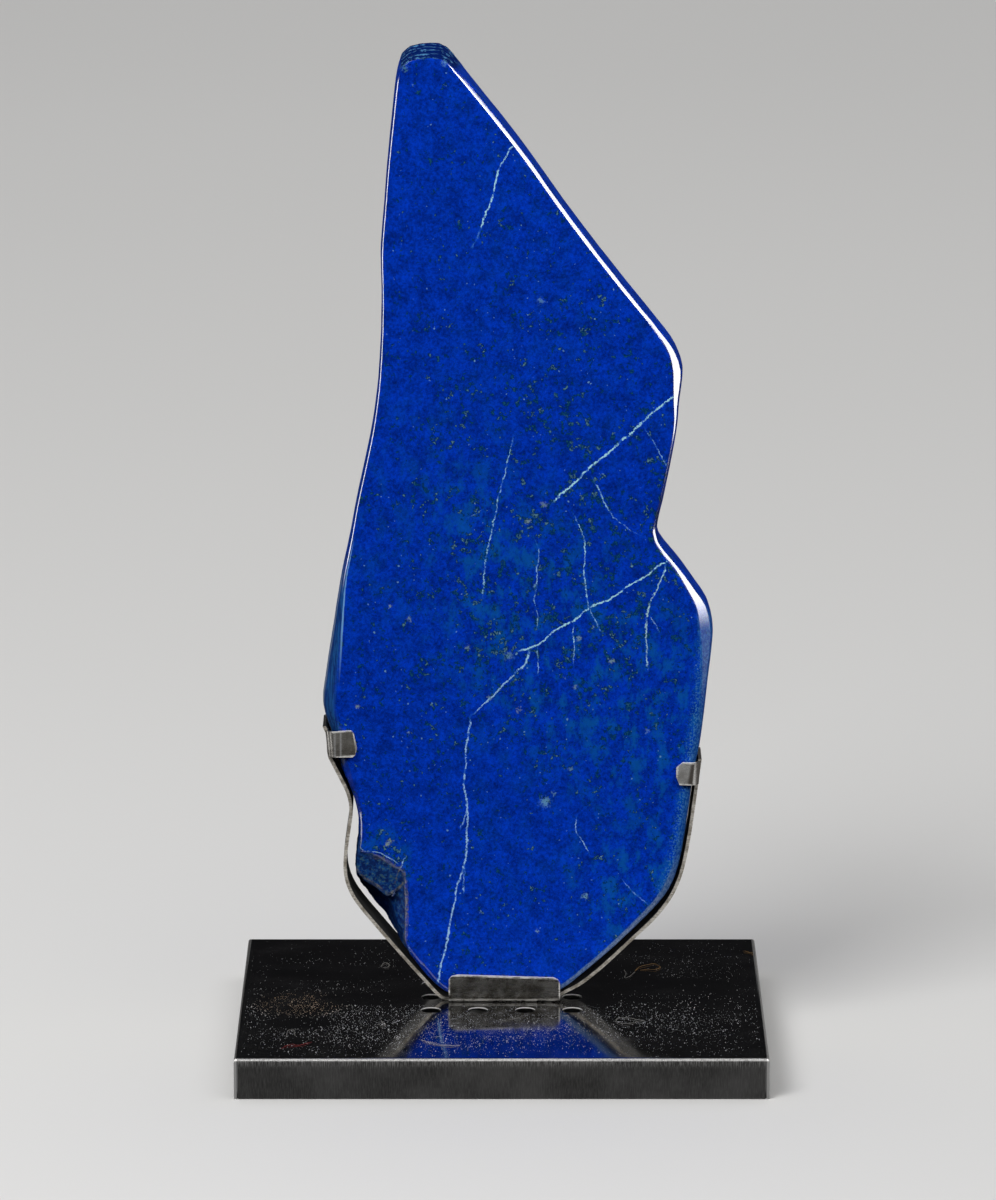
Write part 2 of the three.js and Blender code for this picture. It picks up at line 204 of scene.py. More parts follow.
def stand_in(node, name):
    """A new piece with a CAD node's surface, its shared vertices merged, that is shown in its place."""
    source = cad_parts[node].data
    points, index = np.unique(np.round(read_points(source), 3), axis=0, return_inverse=True)
    index = index.ravel()
    faces = [[int(index[v]) for v in polygon.vertices] for polygon in source.polygons]
    piece = new_piece(name, points, [face for face in faces if len(set(face)) == 3])
    piece.data.validate()
    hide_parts(node)
    return piece


def apply_modifiers(piece):
    bpy.context.view_layer.update()
    depsgraph = bpy.context.evaluated_depsgraph_get()
    mesh = bpy.data.meshes.new_from_object(piece.evaluated_get(depsgraph))
    piece.modifiers.clear()
    old = piece.data
    piece.data = mesh
    bpy.data.meshes.remove(old)


def relax(points, edges, weights, rounds):
    """Evens out the points, each by its own weight, by moving them towards the middle of their neighbours."""
    count = len(points)
    degree = np.bincount(edges.ravel(), minlength=count).astype(float)
    for _ in range(rounds):
        middle = np.empty_like(points)
        for axis in range(3):
            there = np.bincount(edges[:, 0], points[edges[:, 1], axis], count)
            back = np.bincount(edges[:, 1], points[edges[:, 0], axis], count)
            middle[:, axis] = (there + back) / degree
        points = points + 0.5 * weights[:, None] * (middle - points)
    return points


def broken_share(points):
    """1 on the broken corner at the lower left, and 0 on the polished stone round it."""
    x, y, z = points.T
    inside = smooth_step(x, *BROKEN_SIDE) * smooth_step(z, *BROKEN_FOOT) * smooth_step(z, *BROKEN_HEAD)
    behind_front = smooth_step(y, FRONT_Y + 0.15, FRONT_Y + 0.9)
    before_back = smooth_step(y, BACK_Y - 0.8, BACK_Y - 2.6)
    return inside * behind_front * before_back


def remesh(piece):
    modifier = piece.modifiers.new("remesh", "REMESH")
    modifier.mode = "VOXEL"
    modifier.voxel_size = VOXEL * MM
    apply_modifiers(piece)


def search_tree(points):
    """A search tree of points seen from the front, so that only x and z count."""
    tree = kdtree.KDTree(len(points))
    for index, (x, _, z) in enumerate(points):
        tree.insert((x, 0, z), index)
    tree.balance()
    return tree


def rim_samples(mesh, spacing=0.3):
    """Points along the stone's widest contour, and the width of the rounded rim beside each of them."""
    points = read_points(mesh)
    edges = read_edges(mesh)
    on_contour = np.abs(points[:, 1] - (FRONT_Y + BACK_Y) / 2) < 0.01
    face_tree = search_tree(points[points[:, 1] < FRONT_Y + 0.01])
    widths = np.array([
        face_tree.find((x, 0, z))[2] if on else 0
        for (x, _, z), on in zip(points, on_contour)
    ])
    places, rims = [], []
    for start, end in edges[on_contour[edges].all(axis=1)]:
        steps = max(1, math.ceil(np.linalg.norm(points[end] - points[start]) / spacing))
        for share in np.arange(steps) / steps:
            places.append(points[start] * (1 - share) + points[end] * share)
            rims.append(widths[start] * (1 - share) + widths[end] * share)
    return places, np.array(rims)


def flare_share(points):
    """1 on the ground flare of the lower left side, whose rim stays round."""
    x, _, z = points.T
    return smooth_step(-x, 41.0, 43.5) * smooth_step(z, 84.0, 90.0) * smooth_step(-z, -152.0, -144.0)


def bevel_rims(mesh, places, rims):
    """Cuts the rounded rims of the front and back faces back to flat bevels."""
    points = read_points(mesh)
    tree = search_tree(places)
    found = [tree.find((x, 0, z))[1:] for x, _, z in points]
    nearest, inset = np.array(found).T
    long_slope = smooth_step(points[:, 0], -24.0, -16.0) * smooth_step(points[:, 2], 196.0, 214.0)
    width = np.maximum(rims[nearest.astype(int)], BEVEL_LEAST + SLOPE_BEVEL_EXTRA * long_slope)
    tip_end = TIP_FROM + 3.5 * smooth_step(points[:, 0], -24.0, -18.0)
    share = (1 - flare_share(points)) * smooth_step(tip_end - points[:, 2], 0.0, 3.0)
    left_corner = smooth_step(-points[:, 0], 24.0, 27.0) * smooth_step(-points[:, 2], -72.0, -68.0)
    depth = BEVEL_SLOPE * np.clip(width - inset, 0, None) * share * (1 - left_corner)
    in_front = points[:, 1] < (FRONT_Y + BACK_Y) / 2
    front = np.maximum(points[:, 1], FRONT_Y + depth)
    back = np.minimum(points[:, 1], BACK_Y - depth)
    points[:, 1] = np.where(in_front, front, back)
    write_points(mesh, points)


def make_stone():
    stone = stand_in("lapis_slab", "polished_lapis_slab")
    places, rims = rim_samples(stone.data)
    remesh(stone)
    bevel_rims(stone.data, places, rims)
    remesh(stone)

    mesh = stone.data
    points = read_points(mesh)
    x, y, z = points.T
    # The upper left side, the tip and the long slope have crisper edges than the rest.
    crisp = np.maximum(smooth_step(z, 205, 230), smooth_step(z, 120, 150) * smooth_step(-x, 15, 25))
    weights = 0.9 - 0.5 * crisp
    points = relax(points, read_edges(mesh), weights, SMOOTHING_ROUNDS)
    write_points(mesh, points)

    normals = read_vectors(mesh, "normal")
    x, y, z = points.T

    # Hackly fracture: lumps, then fine grain, nearly all sunk below the solid's own surface.
    lumps = value_noise(points, 3.1, 1) + 0.55 * value_noise(points, 1.5, 2)
    grain = np.abs(value_noise(points, 0.9, 3))
    broken = broken_share(points) * (0.22 + 0.2 * lumps + 0.16 * grain)

    # Saw marks across the top of the tip.
    wave = y + 0.7 * value_noise(points * [0.25, 0, 0.1], 1.0, 4) + 0.35 * value_noise(points, 2.6, 5)
    groove = np.maximum(0, np.sin(wave * 2 * math.pi / SAW_PITCH)) ** 3
    tip = smooth_step(z, TIP_FROM, TIP_FROM + 3.5) * smooth_step(normals[:, 2], 0.35, 0.75)
    tip = tip * (0.3 * groove + 0.1 * (1 + value_noise(points, 1.1, 6)))

    # Low waves that hand polishing leaves on the side walls.
    wall = smooth_step(-np.abs(normals[:, 1]), -0.75, -0.35)
    walls = wall * (1 - broken_share(points)) * 0.05 * (1 + value_noise(points * [1, 0.35, 1], 5.0, 7))

    # A shallow chip on the long slope's edge.
    chip_middle = np.array([5.2, FRONT_Y + 0.6, 281.4])
    reach = np.linalg.norm((points - chip_middle) / [2.0, 1.6, 2.4], axis=1)
    chip = 0.45 * smooth_step(-reach, -1.0, -0.55)

    points = points - normals * (broken + tip + walls + chip)[:, None]
    write_points(mesh, points)

    decimate = stone.modifiers.new("decimate", "DECIMATE")
    decimate.ratio = min(1.0, STONE_TRIANGLES / (2 * len(mesh.polygons)))
    apply_modifiers(stone)
    flatten_faces(stone.data)
    return stone


def flatten_faces(mesh):
    """Shades the mesh smooth, with the polished front and back faces perfectly even."""
    mesh.shade_smooth()
    points = read_points(mesh)
    normals = read_vectors(mesh, "normal")
    tolerance = 0.03
    normals[points[:, 1] < FRONT_Y + tolerance] = (0, -1, 0)
    normals[points[:, 1] > BACK_Y - tolerance] = (0, 1, 0)
    mesh.normals_split_custom_set_from_vertices(normals.tolist())


# ---- steel ----

BASE_ROUNDING = 0.16  # of the cut edges
CRADLE_ROUNDING = 0.3
SHARP_ANGLE = 32  # degrees


def make_steel(node, name, rounding):
    """A CAD sheet-metal node with its cut edges softly rounded."""
    piece = stand_in(node, name)
    flat = piece.modifiers.new("flat faces", "DECIMATE")
    flat.decimate_type = "DISSOLVE"
    flat.angle_limit = math.radians(0.3)
    bevel = piece.modifiers.new("rounding", "BEVEL")
    bevel.width = rounding * MM
    bevel.segments = 3
    bevel.limit_method = "ANGLE"
    bevel.angle_limit = math.radians(SHARP_ANGLE)
    apply_modifiers(piece)
    piece.data.shade_smooth()
    weighted = piece.modifiers.new("even shading", "WEIGHTED_NORMAL")
    weighted.keep_sharp = True
    apply_modifiers(piece)
    return piece


# ---- lint on the base ----

FIBRE_GAP = 0.01
FIBRE_LIFT = 0.25
FIBRE_COLOURS = {"pale": (0.46, 0.445, 0.42), "golden": (0.36, 0.21, 0.08), "red": (0.28, 0.03, 0.03)}
# Fibres of lint: thickness, colour name, and the line as (x, y) on top of the base.
FIBRES = [
    (0.11, "pale", [(-24.3, -46.5), (-21.5, -50.2), (-18.5, -52.4), (-15.5, -53.3), (-12.5, -52.3)]),
    (0.07, "pale", [(-23.1, -48.1), (-19.7, -50.7), (-16.4, -52.3), (-14.3, -52.8)]),
    (0.06, "pale", [(-0.5, -31.6), (0.0, -27.9), (0.7, -26.3), (3.3, -24.7), (5.9, -22.5), (7.4, -19.8),
                    (8.4, -17.1)]),
    (0.09, "golden", [(41.5, 28.7), (43.1, 32.6), (45.7, 34.9), (47.9, 36.2), (49.5, 32.6), (47.8, 29.4),
                      (45.6, 29.8), (43.2, 29.4)]),
    (0.06, "pale", [(38.1, 29.8), (38.7, 25.3), (38.2, 21.4), (39.5, 21.2), (41.5, 27.5)]),
    (0.06, "pale", [(43.5, -26.3), (41.3, -25.6), (39.0, -24.1), (36.0, -23.1), (34.7, -25.7), (35.9, -29.5),
                    (38.9, -29.5), (41.3, -27.0)]),
    (0.09, "golden", [(76.1, 49.7), (78.0, 49.1), (79.0, 48.4)]),
    (0.06, "golden", [(75.8, 51.4), (77.6, 49.1), (78.9, 46.2)]),
    (0.08, "red", [(-66.1, -55.9), (-63.0, -51.7), (-60.4, -52.6), (-58.0, -50.2)]),
    (0.06, "red", [(-65.3, -52.8), (-61.7, -53.4), (-57.0, -48.8)]),
    (0.06, "pale", [(-65.0, -42.3), (-64.6, -38.2), (-63.8, -36.0), (-62.8, -37.4), (-62.3, -42.3)]),
    (0.06, "pale", [(-37.4, -29.5), (-36.2, -32.8), (-35.2, -29.5), (-36.6, -27.3), (-35.0, -32.7)]),
    (0.07, "pale", [(-37.6, 33.2), (-36.7, 36.7), (-35.1, 36.2), (-35.4, 32.1), (-36.9, 32.6)]),
]


def fibre_mesh(points, thickness, sides=6, samples_per_span=6):
    """Vertices and faces of a closed thin tube along a smooth line that lies on the base."""
    line = []
    padded = np.array([points[0], *points, points[-1]])
    for a, b, c, d in zip(padded, padded[1:], padded[2:], padded[3:]):
        for k in range(samples_per_span):
            t = k / samples_per_span
            line.append(0.5 * (2 * b + (c - a) * t + (2 * a - 5 * b + 4 * c - d) * t**2
                               + (3 * b - a - 3 * c + d) * t**3))
    line = np.array([*line, padded[-1]])
    along = np.gradient(line, axis=0)
    along = along / np.linalg.norm(along, axis=1)[:, None]
    radius = thickness / 2
    # Each fibre lies on the steel at its ends and its middle, and lifts off it a little between them.
    lift = radius + FIBRE_LIFT * np.abs(np.sin(np.linspace(0, 2 * math.pi, len(line))))
    vertices = []
    for place, (dx, dy), height in zip(line, along, lift):
        for side in range(sides):
            angle = 2 * math.pi * side / sides
            out, up = radius * math.cos(angle), radius * math.sin(angle)
            vertices.append((place[0] - dy * out, place[1] + dx * out, TOP_Z + FIBRE_GAP + height + up))
    faces = []
    for ring in range(len(line) - 1):
        for side in range(sides):
            a = ring * sides + side
            b = ring * sides + (side + 1) % sides
            faces.append((a, b, b + sides, a + sides))
    faces.append(tuple(range(sides))[::-1])
    faces.append(tuple(range(len(vertices) - sides, len(vertices))))
    return vertices, faces


def make_lint():
    colours = list(FIBRE_COLOURS)
    vertices, faces, slots = [], [], []
    for thickness, colour, points in FIBRES:
        tube_vertices, tube_faces = fibre_mesh(points, thickness)
        faces += [tuple(v + len(vertices) for v in face) for face in tube_faces]
        vertices += tube_vertices
        slots += [colours.index(colour)] * len(tube_faces)
    lint = new_piece("lint", vertices, faces)
    for polygon, slot in zip(lint.data.polygons, slots):
        polygon.material_index = slot
        polygon.use_smooth = True
    return lint


# ---- dust on the base ----

HOLE_PITCH = 14.4
HOLE_CLEARANCE = 3.5
EDGE_CLEARANCE = 1.8
GRAIN_LEAST = 0.048  # the smallest grains' radius, and what the largest have on top of it
GRAIN_EXTRA = 0.085
LEFT_IN_SMUDGES = 0.12  # the share of the grains
CRADLE_FOOT = (34.0, 12.5)  # half the length and depth that the cradle keeps free of dust
CRADLE_Y = 3.8
# Patches of dust: centre (x, y), reach along x and along y, and how many grains.
DUST_PATCHES = [
    (-54.0, -32.0, 19.0, 17.0, 2200), (-62.0, -8.0, 10.0, 9.0, 800), (-16.0, -36.0, 22.0, 14.0, 2600),
    (10.0, -28.0, 22.0, 14.0, 2600), (56.0, -28.0, 16.0, 18.0, 1400), (44.0, 26.0, 15.0, 13.0, 700),
    (-40.0, 24.0, 26.0, 20.0, 1100), (64.0, 34.0, 12.0, 16.0, 300), (0.0, 0.0, 60.0, 50.0, 1500),
]
# Smudges wiped nearly clean: centre (x, y), and reach in each direction.
SMUDGES = [
    (-61.8, -28.4, 11.5, 5.5), (-40.0, -2.0, 15.0, 7.0), (24.0, 28.0, 26.0, 12.0), (-52.0, 26.0, 22.0, 8.0),
    (52.0, 12.0, 20.0, 9.0),
]


def dust_places(random):
    """Where the grains of dust lie on the base, as (x, y)."""
    found = []
    for x, y, reach_x, reach_y, count in DUST_PATCHES:
        found.append(random.normal((x, y), (reach_x, reach_y), (count, 2)))
    places = np.concatenate(found)
    x, y = places.T
    keep = (np.abs(x) < BASE_HIGH[0] - EDGE_CLEARANCE) & (np.abs(y) < BASE_HIGH[1] - EDGE_CLEARANCE)
    keep &= (np.abs(x) > CRADLE_FOOT[0]) | (np.abs(y - CRADLE_Y) > CRADLE_FOOT[1])
    for hole_x in np.array([-1.5, -0.5, 0.5, 1.5]) * HOLE_PITCH:
        for hole_y in np.array([-1, 0, 1]) * HOLE_PITCH:
            keep &= np.hypot(x - hole_x, y - hole_y) > HOLE_CLEARANCE
    for smudge_x, smudge_y, long, wide in SMUDGES:
        inside = np.hypot((x - smudge_x) / long, (y - smudge_y) / wide) < 1
        keep &= ~inside | (random.random(len(x)) < LEFT_IN_SMUDGES)
    clumps = value_noise(np.column_stack([x, y, x * 0]), 4.5, 8)
    keep &= random.random(len(x)) < 0.8 + 0.6 * clumps
    return places[keep]


def make_dust():
    """Grains of dust, each a small octahedron that stands on the base."""
    random = np.random.default_rng(11)
    places = dust_places(random)
    corners = np.array([(1, 0, 0), (0, 1, 0), (-1, 0, 0), (0, -1, 0), (0, 0, 0.6), (0, 0, -0.6)])
    sides = [(0, 1, 4), (1, 2, 4), (2, 3, 4), (3, 0, 4), (1, 0, 5), (2, 1, 5), (3, 2, 5), (0, 3, 5)]
    vertices, faces = [], []
    for x, y in places:
        radius = GRAIN_LEAST + GRAIN_EXTRA * random.random() ** 4
        turn = random.random() * math.pi
        cos, sin = math.cos(turn), math.sin(turn)
        long = radius * (1 + 0.5 * random.random())
        for a, b, c in corners * (long, radius, radius):
            vertices.append((x + a * cos - b * sin, y + a * sin + b * cos, TOP_Z + c + 0.6 * radius))
        start = len(vertices) - len(corners)
        faces += [tuple(start + corner for corner in side) for side in sides]
    return new_piece("dust", vertices, faces)


# ---- shader building ----


class Value:
    """A number, a place or a colour that a material's nodes work out. Arithmetic on it adds nodes."""

    def __init__(self, shader, socket):
        self.shader = shader
        self.socket = socket

    def work(self, operation, other=0.0):
        """What an operation on this value and another value or number gives."""
        kind = "Math"
        if self.socket.type != "VALUE":
            kind = "VectorMath"
            other = (other,) * 3 if isinstance(other, float) else other
        return self.shader.result(kind, {0: self, 1: other}, operation=operation)

    def __add__(self, other):
        return self.work("ADD", other)

    def __sub__(self, other):
        return self.work("SUBTRACT", other)

    def __rsub__(self, number):
        return self.shader.result("Math", {0: number, 1: self}, operation="SUBTRACT")

    def __mul__(self, other):
        return self.work("MULTIPLY", other)

    def __abs__(self):
        return self.work("ABSOLUTE")

    def away(self, *point):
        """How far this place is from a point."""
        return self.shader.result("VectorMath", {0: self, 1: point}, "Value", operation="DISTANCE")

    def step(self, low, high, start=0.0, end=1.0):
        """A smooth change from start to end as this value goes from low to high."""
        inputs = {0: self, 1: low, 2: high, 3: start, 4: end}
        return self.shader.result("MapRange", inputs, interpolation_type="SMOOTHSTEP")


class Shader:
    """One material's nodes, and the colour that its layers of paint build up."""

    def __init__(self, name):
        self.material = bpy.data.materials.new(name)
        self.material.use_nodes = True
        self.tree = self.material.node_tree
        self.tree.nodes.clear()
        self.output = self.add("OutputMaterial")
        self.surface = self.add("BsdfPrincipled")
        self.tree.links.new(self.surface.outputs[0], self.output.inputs["Surface"])
        self.place = self.result("TexCoord", {}, "Object") * (1 / MM)  # in millimetres
        self.x, self.y, self.z = self.split(self.place)
        facing = self.result("NewGeometry", {}, "Normal")
        turned = self.result("VectorTransform", {0: facing}, vector_type="NORMAL",
                             convert_from="WORLD", convert_to="OBJECT")
        self.facing_x, self.facing_y, self.facing_z = self.split(turned)

    def add(self, kind, inputs=None, **settings):
        made = self.tree.nodes.new("ShaderNode" + kind)
        for name, value in settings.items():
            setattr(made, name, value)
        for key, value in (inputs or {}).items():
            self.put(made.inputs[key], value)
        return made

    def put(self, socket, value):
        """Sets a socket, or links a value to it. A colour is its red, green and blue."""
        if isinstance(value, Value):
            self.tree.links.new(value.socket, socket)
        elif socket.type == "RGBA":
            socket.default_value = (*value, 1)
        else:
            socket.default_value = value

    def result(self, kind, inputs, output=0, **settings):
        """What a new node gives at one of its outputs."""
        return Value(self, self.add(kind, inputs, **settings).outputs[output])

    def set(self, **values):
        """Sets the surface's sockets, with _ for each space in a socket's name."""
        for name, value in values.items():
            self.put(self.surface.inputs[name.replace("_", " ")], value)

    def split(self, place):
        return [Value(self, socket) for socket in self.add("SeparateXYZ", {0: place}).outputs]

    def combine(self, x, y, z):
        return self.result("CombineXYZ", {0: x, 1: y, 2: z})

    def noise(self, place, size, detail=3.0, roughness=0.55, output=0):
        inputs = {"Vector": place, "Scale": 1 / size, "Detail": detail, "Roughness": roughness}
        return self.result("TexNoise", inputs, output)

    def jitter(self, place, size, reach, detail, roughness):
        """A noisy vector that pushes places about by up to half this reach."""
        return (self.noise(place, size, detail, roughness, "Color") - 0.5) * reach

    def brushed(self, stretch, size):
        """Fine parallel lines, as of grinding or brushing, from 0 to 1."""
        return self.noise(self.place * stretch, size, detail=4.0, roughness=0.75)

    def cells(self, place, size, output="Distance"):
        return self.result("TexVoronoi", {"Vector": place, "Scale": 1 / size}, output)

    def mix(self, share, a, b):
        return self.result("Mix", {0: share, 6: a, 7: b}, 2, data_type="RGBA")

    def mix_value(self, share, a, b):
        return self.result("Mix", {0: share, 2: a, 3: b})

    def paint(self, share, colour):
        """Lays a colour over the colour so far, wholly where share is 1."""
        self.colour = self.mix(share, self.colour, colour)

    def bump(self, height, distance):
        self.set(Normal=self.result("Bump", {"Height": height, "Distance": distance * MM}))


def most(first, *others):
    """The largest of some values."""
    for other in others:
        first = first.work("MAXIMUM", other)
    return first


def line_mask(x, z, half_width, points):
    """1 along a line of (x, z) points, fading to 0 at its half width and at its ends."""
    shader = x.shader
    span_x = abs(points[-1][0] - points[0][0])
    span_z = abs(points[-1][1] - points[0][1])
    upright = span_z >= span_x
    along, across = (z, x) if upright else (x, z)
    order = sorted(((b, a) if upright else (a, b)) for a, b in points)
    low, high = order[0][0], order[-1][0]
    sides = [side for _, side in order]
    side_low, side_high = min(sides) - 1, max(sides) + 1
    curve = shader.add("FloatCurve", {1: shader.result("MapRange", {0: along, 1: low, 2: high})})
    knots = curve.mapping.curves[0].points
    places = [((a - low) / (high - low), (b - side_low) / (side_high - side_low)) for a, b in order]
    knots[0].location, knots[-1].location = places[0], places[-1]
    for place in places[1:-1]:
        knots.new(*place)
    curve.mapping.update()
    centre = Value(shader, curve.outputs[0]) * (side_high - side_low) + side_low
    slant = math.cos(math.atan2(min(span_x, span_z), max(span_x, span_z)))
    core = abs(across - centre).step(1.3 * half_width / slant, 0.35 * half_width / slant)
    middle, half_length = (low + high) / 2, (high - low) / 2
    taper = min(3.0, half_length * 0.4)
    return core * abs(along - middle).step(half_length + 0.6, half_length - taper)


def drawn_lines(x, z, lines):
    """The masks of lines like VEINS, each at its own brightness."""
    return most(*(line_mask(x, z, width, points) * brightness for width, brightness, points in lines))


# ---- materials ----

SHEAR = 0.35  # how far the veins lean sideways for each millimetre of depth
INCLUSION_COLOUR = (0.17, 0.42, 0.68)
TAN_INCLUSION_COLOUR = (0.29, 0.36, 0.29)


def lapis_material():
    s = Shader("polished_lapis")
    # Veins and clouds run through the slab, leaning to one side towards the back.
    depth = s.y - FRONT_Y
    near_front = depth.step(6.0, 2.0)
    body = s.combine(depth * SHEAR + s.x, s.y, s.z)
    front = s.combine(s.x, 0.0, s.z)
    slant = abs(s.facing_y)
    wall = slant.step(0.9, 0.35)

    # Ground colour: saturated blue with soft navy clouds and a strong fine grain.
    clouds = s.noise(body, 5.5, detail=5.0, roughness=0.66)
    grain = s.noise(body, 0.95, detail=4.0, roughness=0.85)
    mottle = clouds * 0.58 + grain * 0.92
    s.colour = s.mix(mottle.step(0.52, 0.98), (0.0007, 0.0155, 0.185), (0.0012, 0.055, 0.72))

    # A teal cast along a slanting belt, at the lower right and round the broken corner.
    belt = abs(s.x * 0.62 + s.z * 0.78 - 108.0).step(8.0, 46.0, 1.0, 0.12)
    belt = belt * s.x.step(-32.0, -4.0, 0.3, 1.0)
    belt = most(belt, front.away(42.0, 0.0, 50.0).step(34.0, 6.0))
    wisps = s.noise(body * (1.0, 1.0, 0.6), 4.2, detail=6.0, roughness=0.72)
    broken_zone = front.away(-38.0, 0.0, 56.0).step(15.0, 9.0)
    teal = most(belt * wisps.step(0.45, 0.64) * 0.7, broken_zone * wisps.step(0.46, 0.6) * 0.4)
    s.paint(teal, (0.005, 0.12, 0.43))

    # Dark specks in swarms, denser in the middle and to the right, many with a teal or pale heart.
    middle = (front * (0.9, 1.0, 0.55)).away(14.0, 0.0, 84.0)
    crowded = most(middle.step(14.0, 66.0, 1.0, 0.6), broken_zone)
    swarm = most(crowded * s.noise(body, 8.0).step(0.4, 0.6, 0.25, 1.0), broken_zone)
    speck_noise = s.noise(body, 1.5, roughness=0.6)
    speck = swarm * 0.16 + speck_noise
    dark = speck.step(0.68, 0.72) * 0.88
    s.paint(dark, (0.0012, 0.03, 0.105))
    heart_kind = s.noise(body, 3.3, detail=1.0)
    heart_colour = s.mix(heart_kind.step(0.48, 0.62), (0.012, 0.1, 0.19), (0.125, 0.29, 0.37))
    crumb = s.noise(body, 0.6, detail=2.0, roughness=0.6)
    s.paint(speck.step(0.728, 0.765) * crumb.step(0.44, 0.56) * 0.85, heart_colour)

    # A strip speckled light blue along the right edge.
    beside_edge = line_mask(s.x, s.z, 4.6, RIGHT_EDGE)
    speckled = (beside_edge * 0.1 + crumb).step(0.57, 0.66)
    s.paint(beside_edge * 0.3, (0.003, 0.09, 0.52))
    s.paint(beside_edge * speckled * 0.75, (0.07, 0.27, 0.5))

    # Scattered bright grains: how far apart, how wide, and how rarely one is there.
    crumbs = s.jitter(body, 1.0, 1.1, 3.0, 0.7)
    ragged = body + crumbs
    for size, reach, chance in ((4.0, 0.075, 0.56), (7.0, 0.06, 0.45), (2.0, 0.1, 0.72)):
        spot = s.cells(ragged, size).step(reach, reach * 0.5)
        chosen = swarm * 0.14 + s.result("SeparateColor", {0: s.cells(ragged, size, "Color")})
        s.paint(spot * chosen.step(chance, chance + 0.06) * 0.8, (0.18, 0.4, 0.64))

    # Pale veins, which wander and are uneven in width.
    wandering = body + s.jitter(body, 7.0, 2.2, 3.0, 0.6) + s.jitter(body, 1.2, 1.9, 4.0, 0.85)
    vein_x, _, vein_z = s.split(wandering)
    dashes = s.noise(body, 1.7, detail=4.0, roughness=0.75).step(0.36, 0.58, 0.3, 1.0)
    veins = drawn_lines(vein_x, vein_z, VEINS) * dashes
    tan_x, tan_z, tan_reach = TAN_VEIN
    tan_vein = front.away(tan_x, 0.0, tan_z).step(tan_reach, 0.7 * tan_reach)
    tan_vein = tan_vein * s.x.step(42.0, 43.5) * s.z.step(149.0, 147.0)
    pale = s.mix(s.z.step(135.0, 108.0), (0.46, 0.86, 1.0), (0.36, 0.62, 0.93))
    pale = s.mix(tan_vein * 0.4, pale, (0.44, 0.54, 0.42))
    s.paint(veins * 1.35, s.mix(veins.step(0.25, 0.7), (0.03, 0.21, 0.8), pale))

    # Separate pale and tan inclusions.
    wild_x, _, wild_z = s.split(body + s.jitter(body, 1.0, 3.2, 3.0, 0.7))
    wild = s.combine(wild_x, 0.0, wild_z)
    for x, z, radius, brightness, tan in INCLUSIONS:
        spot = wild.away(x, 0.0, z).step(radius, 0.15 * radius)
        colours = zip(INCLUSION_COLOUR, TAN_INCLUSION_COLOUR)
        tint = [pale_part + (tan_part - pale_part) * tan for pale_part, tan_part in colours]
        s.paint(spot * (spot * 0.16 + crumb).step(0.5, 0.62) * brightness * near_front, tint)

    # The broken corner: navy with dull grey-green grains on the fracture, painted shade near black deep in
    # the hollow, and worn edges.
    fracture = s.x.step(*BROKEN_SIDE) * s.z.step(*BROKEN_FOOT) * s.z.step(*BROKEN_HEAD)
    fracture = fracture * depth.step(0.15, 0.6) * depth.step(17.6, 15.8)
    fracture_colour = s.mix(speck_noise.step(0.42, 0.6), (0.0006, 0.015, 0.07), (0.005, 0.075, 0.3))
    s.paint(fracture * 0.85, fracture_colour)
    # Painted shade: deep in the hollow the fracture is darkened nearly to black.
    s.paint(fracture * depth.step(5.0, 7.5) * s.z.step(58.0, 50.0) * 0.85, (0.0003, 0.0035, 0.04))
    gritty = (speck_noise * 0.6 + crumb * 0.6).step(0.64, 0.72)
    s.paint(fracture * gritty * depth.step(6.5, 5.0, 0.15, 0.7), (0.07, 0.165, 0.17))
    ragged_x, _, ragged_z = s.split(s.place + crumbs)
    patchy_edges = drawn_lines(ragged_x, ragged_z, WORN_EDGES)
    patchy_edges = patchy_edges * s.noise(body, 1.3).step(0.34, 0.56, 0.2, 1.0) * depth.step(14.5, 12.5)
    s.paint(patchy_edges, s.mix(s.noise(body, 0.9).step(0.36, 0.64), (0.022, 0.045, 0.11), (0.23, 0.22, 0.205)))

    # Side walls: darkened as painted shade, with lighter streaks that follow the edge, left by grinding, and
    # upright ones on the flare.
    streaks = s.brushed((0.1, 1.0, 0.1), 0.8)
    # Painted shade darkens the walls.
    s.paint(wall * 0.35, (0.0008, 0.012, 0.11))
    s.paint(wall * streaks.step(0.5, 0.72) * 0.5, (0.04, 0.12, 0.3))
    flare = s.x.step(-41.0, -44.0) * s.z.step(84.0, 92.0) * s.z.step(156.0, 140.0)
    flare = flare * s.facing_x.step(-0.2, -0.4)
    upright = s.brushed((1.0, 1.0, 0.045), 0.75)
    s.paint(flare * 0.9, s.mix(upright.step(0.44, 0.62), (0.0008, 0.03, 0.16), (0.01, 0.115, 0.36)))
    # Painted highlights: a thin pale line where the flare meets the front face, and a greyer one along its
    # outer edge.
    line_from = s.z.step(108.0, 142.0, 0.97, 0.942)
    flare_inner_highlight = s.x.step(-39.0, -41.5) * s.z.step(110.0, 132.0) * s.z.step(160.0, 150.0)
    flare_inner_highlight = flare_inner_highlight * slant.step(line_from, line_from + 0.018) * slant.step(0.994, 0.986)
    s.paint(flare_inner_highlight * near_front * 0.9, (0.19, 0.45, 0.82))
    flare_outer_highlight = flare * slant.step(0.26, 0.15) * slant.step(0.02, 0.08) * depth.step(9.5, 8.5)
    s.paint(flare_outer_highlight * upright.step(0.34, 0.56, 0.35, 0.85), (0.22, 0.28, 0.35))
    # The rim of the right side, from the lobe down, is frosted and speckled light blue.
    right_rim = s.x.step(8.0, 16.0) * s.z.step(141.0, 129.0) * slant.step(0.992, 0.95)
    rim_share = right_rim * slant.step(0.08, 0.35) * crumb.step(0.4, 0.62, 0.35, 0.9)
    s.paint(rim_share, s.mix(grain.step(0.42, 0.6), (0.002, 0.062, 0.42), (0.06, 0.25, 0.6)))
    bevel = slant.step(0.3, 0.5) * slant.step(0.97, 0.9)
